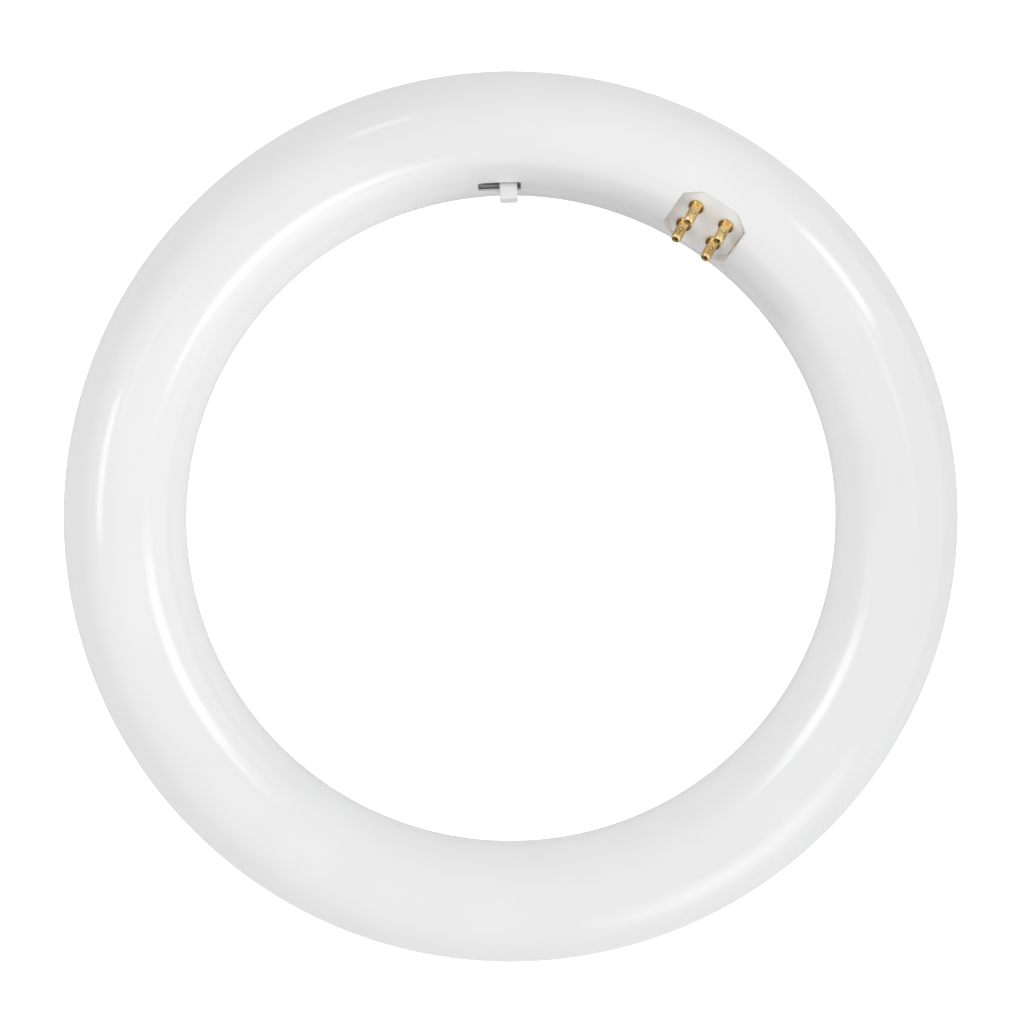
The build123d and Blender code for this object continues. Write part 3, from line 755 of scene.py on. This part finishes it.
# %% Quarters of the plate
plate_thickness, plate_edge = 3 * MM, 0.1 * MM
plate_layers = soft_edges(base_face - plate_thickness, base_face, plate_edge)
pin_hole_radius = 1.225 * MM
quarter_places = [0, 8, 15, 22, 30]
quarter_count = 40


def quarter(inset):
    """From the plate's middle out along an axis, half the side, the cut corner, half the top, and back."""
    wide, high, cut = octagon_sizes(-inset)
    steps = np.arange(quarter_count)
    x = np.interp(steps, quarter_places, [0, wide, wide, wide - cut, 0], period=quarter_count)
    y = np.interp(steps, quarter_places, [0, 0, high - cut, high, high], period=quarter_count)
    return np.stack([x, y])


def plate_quarter(flip):
    """Drilled quarter, mirrored by two signs; it has no wall along the axes, where the next quarter goes on."""
    signs = np.array(flip)

    def mirrored(inset):
        """Outline of the quarter with both signs."""
        return signs[:, None] * quarter(inset)

    points, quads = drilled(mirrored, signs * [pin_x, pin_y], pin_hole_radius, plate_layers)
    row, column = np.divmod(np.arange(len(quads)), quarter_count)
    in_wall = (row > 1) & (row < row.max())
    on_axis = (column < quarter_places[1]) | (column >= quarter_places[-1])
    quads = quads[~(in_wall & on_axis)]
    return points, quads[:, ::-1] if signs.prod() < 0 else quads


plate = closed_poles(*together(*[plate_quarter((x, y)) for x in (-1, 1) for y in (-1, 1)]))
print("plate has", len(plate[0]), "points")

# %% Base plate and its ears
ear_back, ear_edge = base_face - 2.98 * MM, 0.15 * MM
ear_layers = soft_edges(ear_back, collar_level, ear_edge)
ear_x, ear_half_bar, ear_end = 9.6 * MM, 1.2 * MM, 2.4 * MM
screw_hole_radius = 1.15 * MM
ear_count = 49


def ear(side):
    """Bar with round ends at one side of the plate, drilled for its screw."""
    turn = full_turn(ear_count)

    def outline(inset):
        """Two half circles a bar's length apart, drawn in by the inset."""
        x = side * ear_x + np.sign(np.cos(turn)) * ear_half_bar + (ear_end - inset) * np.cos(turn)
        return np.stack([x, (ear_end - inset) * np.sin(turn)])

    return closed_poles(*drilled(outline, (side * base_screw_x, 0), screw_hole_radius, ear_layers))


lamp_piece("base_plate", together(plate, ear(-1), ear(1)), "lamp", "pin_base", "base_grey")

# %% [markdown]
# ## Switch knob
# The white tab outside the wall is pushed on the switch's stem, so its rings start at the end of the socket for
# that stem. A cube with a Bevel modifier would look alike from outside, but it would have no socket. The tab stands
# at the clockwise end of its travel, and it rides on the slider's body, so it moves when the joint does.

# %% Knob
knob_x = 2 * MM
knob_half_width, knob_half_height = 2 * MM, 1.1 * MM
knob_back, knob_front, knob_edge = flat_level - 0.15 * MM, tube_radius + 3.6 * MM, 0.25 * MM
socket_half_width, socket_half_height = 1.25 * MM, 0.55 * MM
socket_end = tube_radius + 2 * MM
squareness = 0.28
knob_turn = full_turn(64)


def knob_outline(inset):
    """Rounded rectangle drawn in by an inset: cosine and sine raised to a low power, with their signs kept."""
    x, y = np.cos(knob_turn), np.sin(knob_turn)
    wide, high = np.sign(x) * np.abs(x) ** squareness, np.sign(y) * np.abs(y) ** squareness
    return knob_x + wide * (knob_half_width - inset), high * (knob_half_height - inset)


def stem_socket(height):
    """Rectangle at a height: a circle widened by the root of 2 and clipped to the sides."""
    wide = np.clip(np.sqrt(2) * np.cos(knob_turn), -1, 1)
    high = np.clip(np.sqrt(2) * np.sin(knob_turn), -1, 1)
    return placed(switch_seat, knob_x + socket_half_width * wide, socket_half_height * high, height)


knob_layers = soft_edges(knob_back, knob_front, knob_edge)
knob_rings = [stem_socket(socket_end), stem_socket(knob_back), *layered(knob_outline, switch_seat, knob_layers)]
lamp_piece("knob", closed_rings(knob_rings), "slider", "switch_knob", "knob_white")

# %% [markdown]
# ## Shared surface effects
# Real plastic and metal are never one flat value. Painted images could give the variation, but noise from nodes
# fits any size. Three small node groups hold it, and every finish below places them with its own values: a faint
# mottle in the colour, uneven gloss from handling, and the fine relief of a moulded or drawn surface.

# %% Node group helpers
def effect_group(name, inputs, outputs):
    """Empty shader group with named sockets, each a Vector, Color or Float, and its two end nodes."""
    group = bpy.data.node_groups.new(name, "ShaderNodeTree")
    for way, sockets in [("INPUT", inputs), ("OUTPUT", outputs)]:
        for socket, kind in sockets.items():
            group.interface.new_socket(socket, in_out=way, socket_type="NodeSocket" + kind)
    return group, group.nodes.new("NodeGroupInput"), group.nodes.new("NodeGroupOutput")


def feed(tree, socket, value):
    """Plain number for a node's input, or a link from another node's output."""
    if isinstance(value, (int, float)):
        socket.default_value = value
    else:
        tree.links.new(value, socket)


def noise(tree, vector, scale, detail):
    """Noise texture at a socket's scale or a plain one."""
    node = tree.nodes.new("ShaderNodeTexNoise")
    for socket, value in [("Vector", vector), ("Scale", scale), ("Detail", detail)]:
        feed(tree, node.inputs[socket], value)
    return node


def stretched(tree, texture, low, high):
    """Map Range node that spreads a texture's values between low and high over its whole output."""
    node = tree.nodes.new("ShaderNodeMapRange")
    for socket, value in [("Value", texture.outputs["Fac"]), ("From Min", low), ("From Max", high)]:
        feed(tree, node.inputs[socket], value)
    return node


print("groups read the coordinates that a material gives them")

# %% Mottled colour
mottle, start, end = effect_group(
    "mottled_colour",
    {"Vector": "Vector", "Colour": "Color", "Second colour": "Color", "Scale": "Float"},
    {"Colour": "Color"},
)
cloud = noise(mottle, start.outputs["Vector"], start.outputs["Scale"], detail=4)
share = stretched(mottle, cloud, low=0.35, high=0.65)
blend = mottle.nodes.new("ShaderNodeMix")
blend.data_type = "RGBA"
mottle.links.new(share.outputs["Result"], blend.inputs["Factor"])
mottle.links.new(start.outputs["Colour"], blend.inputs["A"])
mottle.links.new(start.outputs["Second colour"], blend.inputs["B"])
mottle.links.new(blend.outputs["Result"], end.inputs["Colour"])
print("made", mottle.name)

# %% Uneven gloss
handling, start, end = effect_group(
    "uneven_gloss",
    {"Vector": "Vector", "Low": "Float", "High": "Float", "Scale": "Float"},
    {"Roughness": "Float"},
)
smear = noise(handling, start.outputs["Vector"], start.outputs["Scale"], detail=6)
span = stretched(handling, smear, low=0.3, high=0.75)
handling.links.new(start.outputs["Low"], span.inputs["To Min"])
handling.links.new(start.outputs["High"], span.inputs["To Max"])
handling.links.new(span.outputs["Result"], end.inputs["Roughness"])
print("made", handling.name)

# %% Fine relief
relief, start, end = effect_group(
    "fine_relief",
    {"Vector": "Vector", "Scale": "Float", "Wave": "Float"},
    {"Height": "Float"},
)
grain = noise(relief, start.outputs["Vector"], start.outputs["Scale"], detail=3)
wave = noise(relief, start.outputs["Vector"], scale=45.0, detail=1)
mixed = relief.nodes.new("ShaderNodeMix")
relief.links.new(start.outputs["Wave"], mixed.inputs["Factor"])
relief.links.new(grain.outputs["Fac"], mixed.inputs["A"])
relief.links.new(wave.outputs["Fac"], mixed.inputs["B"])
relief.links.new(mixed.outputs["Result"], end.inputs["Height"])
print("made", relief.name)

# %% [markdown]
# ## Finishes
# Every finish is the same short recipe: a colour pair for the mottle, a range for the gloss, and the depth of the
# relief. What is the same all over, such as metal or not, is set straight on the shader's own socket. A node tree
# for each finish could do more, but then a learner would have to read more than twenty of them.

# %% Recipe for a finish
def finish(name, colour, second, gloss, grain_scale=900.0, grain_depth=0.02, wave=0.3, mottle_scale=60.0,
           metallic=0.0, coat=0.0, specular=0.5):
    """Principled material fed by the three effects at Object coordinates; grain_depth is in millimetres."""
    material = bpy.data.materials.new(name)
    material.use_nodes = True
    tree = material.node_tree
    shader = tree.nodes["Principled BSDF"]
    place = tree.nodes.new("ShaderNodeTexCoord").outputs["Object"]

    def effect(group, **values):
        """Node of a group at those coordinates, with its own values."""
        node = tree.nodes.new("ShaderNodeGroup")
        node.node_tree = group
        tree.links.new(place, node.inputs["Vector"])
        for socket, value in values.items():
            node.inputs[socket.replace("_", " ")].default_value = value
        return node

    tint = effect(mottle, Colour=(*colour, 1), Second_colour=(*second, 1), Scale=mottle_scale)
    shine = effect(handling, Low=gloss[0], High=gloss[1], Scale=90.0)
    height = effect(relief, Scale=grain_scale, Wave=wave)
    bump = tree.nodes.new("ShaderNodeBump")
    bump.inputs["Distance"].default_value = grain_depth * MM
    tree.links.new(height.outputs["Height"], bump.inputs["Height"])
    tree.links.new(tint.outputs["Colour"], shader.inputs["Base Color"])
    tree.links.new(shine.outputs["Roughness"], shader.inputs["Roughness"])
    tree.links.new(bump.outputs["Normal"], shader.inputs["Normal"])
    shader.inputs["Metallic"].default_value = metallic
    shader.inputs["Coat Weight"].default_value = coat
    shader.inputs["Specular IOR Level"].default_value = specular
    return material


print("a finish uses", ", ".join(group.name for group in (mottle, handling, relief)))

# %% Finishes by the record's slots
finishes = {
    "rear_white": finish("glossy white tube", (0.80, 0.80, 0.805), (0.785, 0.785, 0.79), (0.13, 0.19),
                         grain_depth=0.004, wave=0.7, specular=0.75),
    "diffuser_white": finish("milky white tube", (0.80, 0.80, 0.80), (0.79, 0.79, 0.78), (0.13, 0.19),
                             grain_depth=0.004, wave=0.7, specular=0.75),
    "base_grey": finish("pale grey base", (0.86, 0.845, 0.83), (0.83, 0.815, 0.80), (0.36, 0.5), grain_scale=2500),
    "knob_white": finish("white knob", (0.83, 0.83, 0.83), (0.80, 0.80, 0.80), (0.3, 0.42), grain_scale=2500),
    "slider_black": finish("black slider", (0.015, 0.015, 0.016), (0.022, 0.022, 0.023), (0.35, 0.5)),
    "switch_grey": finish("grey switch housing", (0.32, 0.315, 0.305), (0.28, 0.275, 0.265), (0.35, 0.5),
                          grain_scale=2500),
    "switch_brown": finish("brown switch cover", (0.12, 0.05, 0.02), (0.16, 0.07, 0.03), (0.3, 0.45)),
    "led_board_white": finish("white light board", (0.80, 0.80, 0.78), (0.76, 0.76, 0.74), (0.3, 0.4)),
    "led_warm": finish("warm phosphor", (0.85, 0.48, 0.05), (0.75, 0.42, 0.05), (0.25, 0.4), grain_scale=4000),
    "led_cool": finish("cool phosphor", (0.85, 0.72, 0.22), (0.78, 0.68, 0.2), (0.25, 0.4), grain_scale=4000),
    "driver_green": finish("green driver board", (0.01, 0.09, 0.03), (0.02, 0.13, 0.04), (0.25, 0.4),
                           mottle_scale=300),
    "part_black": finish("black package", (0.012, 0.012, 0.012), (0.02, 0.02, 0.02), (0.45, 0.6)),
    "fuse_green": finish("lacquered fuse", (0.10, 0.20, 0.15), (0.08, 0.17, 0.13), (0.2, 0.3), coat=0.4),
    "film_yellow": finish("yellow film case", (0.62, 0.40, 0.03), (0.58, 0.36, 0.03), (0.3, 0.4)),
    "ferrite": finish("ferrite", (0.02, 0.02, 0.021), (0.035, 0.035, 0.036), (0.5, 0.7), grain_depth=0.05),
    "winding_tape": finish("yellow winding tape", (0.70, 0.48, 0.06), (0.62, 0.42, 0.05), (0.2, 0.3)),
    "can_sleeve": finish("dark capacitor sleeve", (0.012, 0.015, 0.035), (0.018, 0.02, 0.045), (0.15, 0.25)),
    "lead_white": finish("white lead insulation", (0.74, 0.73, 0.70), (0.70, 0.69, 0.66), (0.4, 0.55)),
    "lead_red": finish("red lead insulation", (0.45, 0.02, 0.015), (0.38, 0.02, 0.015), (0.4, 0.55)),
    "pin_brass": finish("drawn brass", (0.91, 0.71, 0.38), (0.82, 0.60, 0.28), (0.1, 0.24), grain_scale=3000,
                        grain_depth=0.01, mottle_scale=500, metallic=1.0),
    "contact_bronze": finish("spring bronze", (0.62, 0.40, 0.22), (0.52, 0.33, 0.17), (0.2, 0.35), metallic=1.0),
    "link_tin": finish("tinned wire", (0.62, 0.62, 0.61), (0.55, 0.55, 0.54), (0.25, 0.4), metallic=1.0),
    "screw_steel": finish("zinc-plated steel", (0.55, 0.56, 0.57), (0.47, 0.48, 0.50), (0.25, 0.4), metallic=1.0,
                          mottle_scale=400),
}
print(len(finishes), "finishes")

# %% [markdown]
# ## Painted shade on the pins
# Painted shade darkens the brass to brown: a dark outline on the flange's rim, a little at the flange's root and
# at the tip, and a dark ring round the punch mark. It could be painted by hand, but worked out from each point's
# own radius and height it lies alike on all four pins. It is kept with the mesh. Real brass is also a little dull
# where it turns away from the eye: on metal, the shader's specular tint sets the colour of those glancing
# reflections.

# %% Places of the painted shade
flange_rim, rim_fade, rim_shade = 1.7, 0.08, 0.3
root_height, root_spread, root_shade = 0.6, 0.2, 0.1
tip_height, tip_spread, tip_shade = 5.6, 0.18, 0.1
mark_ring, mark_spread, mark_shade = 0.48, 0.14, 0.6


def soft_band(value, middle, spread):
    """1 at the middle and falling off to both sides: e to the minus square of the distance in spreads."""
    return np.exp(-(((value - middle) / spread) ** 2))


# Painted shade: the bands mark where the brass's colour is darkened to stand in for shade and dark reflections.
def tarnish(pin, x, y):
    """Soft bands of the pin's own radius, height and distance from its punch mark; the strongest one counts."""
    points = np.empty(3 * len(pin.data.vertices))
    pin.data.vertices.foreach_get("co", points)
    local = (points.reshape(-1, 3) - placed(base_seat, x, y, base_face)) @ np.stack(base_seat[1:], axis=-1) / MM
    sideways, upwards, height = local.T
    from_mark = np.hypot(sideways, height - mark_height / MM)
    rim = rim_shade * np.clip((np.hypot(sideways, upwards) - flange_rim) / rim_fade, 0, 1)
    root = root_shade * soft_band(height, root_height, root_spread)
    tip = tip_shade * soft_band(height, tip_height, tip_spread)
    mark = mark_shade * soft_band(from_mark, mark_ring, mark_spread) * (upwards > 0)
    layer = pin.data.attributes.new("tarnish", "FLOAT", "POINT")
    layer.data.foreach_set("value", np.max([rim, root, tip, mark], axis=0))


for pin, place in zip(pins, pin_places):
    tarnish(pin, *place)
print("tarnish kept with", len(pins), "pins")

# %% Brass darkened by painted shade
# Brown of the painted shade, mixed into the brass by the bands.
painted_shade_brown = (0.12, 0.055, 0.02)
glancing_brass = (0.55, 0.38, 0.2, 1)


def mixed_in(material, amount, colour):
    """Base colour of a finish, mixed with another one by the amount that a node puts out."""
    tree = material.node_tree
    base = tree.nodes["Principled BSDF"].inputs["Base Color"]
    mix = tree.nodes.new("ShaderNodeMix")
    mix.data_type = "RGBA"
    mix.inputs["B"].default_value = (*colour, 1)
    tree.links.new(amount, mix.inputs["Factor"])
    tree.links.new(base.links[0].from_socket, mix.inputs["A"])
    tree.links.new(mix.outputs["Result"], base)


brass = finishes["pin_brass"]
# The painted shade kept with the mesh darkens the brass's base colour.
painted_shade_node = brass.node_tree.nodes.new("ShaderNodeAttribute")
painted_shade_node.attribute_name = "tarnish"
mixed_in(brass, painted_shade_node.outputs["Fac"], painted_shade_brown)
brass.node_tree.nodes["Principled BSDF"].inputs["Specular Tint"].default_value = glancing_brass
print("brass has", len(brass.node_tree.nodes), "nodes")

# %% Dress the CAD nodes and the new pieces
slot_of_node = {part["node"]: part["material_slot"] for part in frame["record"]["subparts"]}
for name, node in nodes.items():
    node.data.materials.clear()
    node.data.materials.append(finishes[slot_of_node[name]])
pieces = [thing for thing in bpy.data.objects if "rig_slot" in thing]
for piece in pieces:
    piece.data.materials.append(finishes[piece["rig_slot"]])
print("dressed", len(nodes), "nodes and", len(pieces), "pieces")

# %% [markdown]
# ## Camera
# The picture was taken from almost straight above, 600 mm away, from a little past the switch's side. A constraint
# could aim the camera, but three directions at right angles do it for good: back towards the camera, right, and up
# in the picture.

# %% Camera
camera_distance = 600 * MM
to_camera = np.array([-0.0134, 0.1001, 1.0])
aim_shift = np.array([0.1, 2.5, 0]) * MM


def looking(right, back, place):
    """Matrix with the columns right, up, back and place; a camera and a light both look along minus back."""
    matrix = np.eye(4)
    matrix[:3] = np.stack([right, np.cross(back, right), back, place], axis=-1)
    return Matrix(matrix)


ring_middle = tube_radius * upright
eye = ring_middle + camera_distance * unit(to_camera)
back = unit(eye - ring_middle - aim_shift)
camera_data = bpy.data.cameras.new("camera")
camera_data.lens = 91.38
camera = in_scene("camera", camera_data)
camera.matrix_world = looking(unit(np.cross([0, 1, 0], back)), back, eye)
bpy.context.scene.camera = camera
bpy.context.scene.view_settings.view_transform = "Standard"
print("camera is at", np.round(eye / MM), "mm")

# %% [markdown]
# ## Floor and sky
# The lamp lies on a pale table, which is bright enough to fall away to white in the picture. A picture of a studio
# could light the scene, but an even sky is plainer and needs no file. It is brighter low down on the right and high
# up on the left, so that each side of the tube has a slow change from light to shade and reads as round.

# %% Floor
floor_half_width = 6.0


def stage_sheet(name, points, material):
    """One quad from two by two points, for the stage; it rides on no body of the lamp."""
    mesh = bpy.data.meshes.new(name)
    mesh.from_pydata(points.reshape(-1, 3).tolist(), [], grid_quads(2, 2).tolist())
    mesh.materials.append(material)
    made = in_scene(name, mesh)
    return made


across = [-floor_half_width, floor_half_width]
floor_x, floor_y = np.meshgrid(across, across, indexing="ij")
paper = finish("pale paper", (0.86, 0.86, 0.86), (0.84, 0.84, 0.84), (0.6, 0.7), grain_depth=0.0)
shader = paper.node_tree.nodes["Principled BSDF"]
shader.inputs["Emission Color"].default_value = (0.6, 0.6, 0.6, 1)
seen = paper.node_tree.nodes.new("ShaderNodeLightPath").outputs["Is Camera Ray"]
paper.node_tree.links.new(seen, shader.inputs["Emission Strength"])
stage_sheet("floor", np.stack([floor_x, floor_y, np.zeros_like(floor_x)], axis=-1), paper)
print("floor is", 2 * floor_half_width, "m across")

# %% Sky
sky_glow, side_tilt, turn_with_height = 0.912, 0.33, -2.2
world = bpy.data.worlds.new("studio")
bpy.context.scene.world = world
world.use_nodes = True
sky = world.node_tree
direction = sky.nodes.new("ShaderNodeTexCoord").outputs["Generated"]
split = sky.nodes.new("ShaderNodeSeparateXYZ")
sky.links.new(direction, split.inputs["Vector"])


def sky_math(operation, *values):
    """Math node fed by sockets or plain numbers."""
    node = sky.nodes.new("ShaderNodeMath")
    node.operation = operation
    for socket, value in zip(node.inputs, values):
        feed(sky, socket, value)
    return node.outputs["Value"]


turned = sky_math("MULTIPLY_ADD", split.outputs["Z"], turn_with_height, 1.0)
sideways = sky_math("MULTIPLY", split.outputs["X"], turned)
strength = sky_math("MULTIPLY_ADD", sideways, side_tilt, sky_glow)
sky.nodes["Background"].inputs["Color"].default_value = (1, 1, 1, 1)
sky.links.new(strength, sky.nodes["Background"].inputs["Strength"])
print("sky is brighter low on the right and high on the left")

# %% [markdown]
# ## Studio lights
# A streak of gloss is a light's mirror image. So each light is placed by where its streak should lie: from that
# place on the tube, along the mirrored line of sight. A grid in front of the light keeps it to its own part of the
# ring, as it would in a studio; otherwise every light would show a second streak on the far side.

# %% A light by its streak
light_distance = 300 * MM


def studio_light(name, spot, back, width, height, roll, grid, glow):
    """Rectangle that fills width by height as seen from its spot, rolled, and shines within the grid's angle.

    Its power is four times its glow and area, times 1 less the grid's angle over its tangent.
    """
    level = unit(np.cross(upright, back))
    right = np.cos(roll) * level + np.sin(roll) * np.cross(back, level)
    light = bpy.data.lights.new(name, "AREA")
    light.shape = "RECTANGLE"
    light.size = 2 * light_distance * np.tan(width / 2)
    light.size_y = 2 * light_distance * np.tan(height / 2)
    light.spread = 2 * grid
    light.energy = 4 * glow * light.size * light.size_y * (1 - grid / np.tan(grid))
    in_scene(name, light).matrix_world = looking(right, back, spot + back * light_distance)


def mirrored_sight(azimuth, section):
    """Place on the tube, and the line of sight from the camera mirrored there."""
    spot = on_tube(azimuth, section, tube_radius)
    normal = tube_normal(azimuth, section)
    sight = unit(eye - spot)
    return spot, 2 * (sight @ normal) * normal - sight


print("lights stand", light_distance / MM, "mm from their streaks")

# %% Studio lights
streaks = [
    # name, azimuth and section of the streak, width, height, roll, grid, glow
    ("light_right", 203, 119, 20, 18, -12, 30, 2.9),
    ("light_lower_right", 131, 113, 16, 12, -28, 28, 4.0),
    ("light_left", 331, 120, 15, 17, 0, 30, 2.9),
    ("light_far_left", 171, 73, 20, 11, 0, 20, 2.6),
    ("light_upper_right", 38, 72, 16, 13, 0, 20, 3.2),
    ("light_top", 108, 66, 10, 7, 0, 20, 1.7),
    ("panel_lower_right", 304, 70, 44, 46, 0, 24, 1.4),
]
for name, azimuth, section, *angles, glow in streaks:
    studio_light(name, *mirrored_sight(*np.radians([azimuth, section])), *np.radians(angles), glow)
to_pin_light, pin_angles, pin_glow = unit(np.array([-0.62, 0.35, 0.70])), np.radians([8, 8, 0, 7]), 22
studio_light("light_pins", placed(base_seat, 0, 0, base_face), to_pin_light, *pin_angles, pin_glow)
print(len(streaks), "lights for the streaks, and one for the pins")

# %% [markdown]
# ## A card by the base
# White walls in white light have no shade, and brass has nothing to mirror. So a photographer stands a card next to
# such a place, dark on one side and white on the other. Here it stands inside the ring, across from the base. The
# dark side shades the inner wall beside the pins and draws dark lines along the brass, and the white side leaves
# the far wall as bright as it was. The camera doesn't see the card itself.

# %% Card
card_azimuth, card_reach, card_half_width = np.radians(64), 38 * MM, 24 * MM
side, level = np.meshgrid([-card_half_width, card_half_width], [0, 2 * card_half_width], indexing="ij")
outwards, along = ring_directions(card_azimuth)
card_points = card_reach * outwards + side[..., None] * along + level[..., None] * upright
card_paper = finish("two-sided card", (0.12, 0.12, 0.12), (0.11, 0.11, 0.11), (0.6, 0.7))
back_side = card_paper.node_tree.nodes.new("ShaderNodeNewGeometry").outputs["Backfacing"]
mixed_in(card_paper, back_side, (0.9, 0.9, 0.9))
stage_sheet("card", card_points, card_paper).visible_camera = False
print("card stands", card_reach / MM, "mm from the ring's axis")
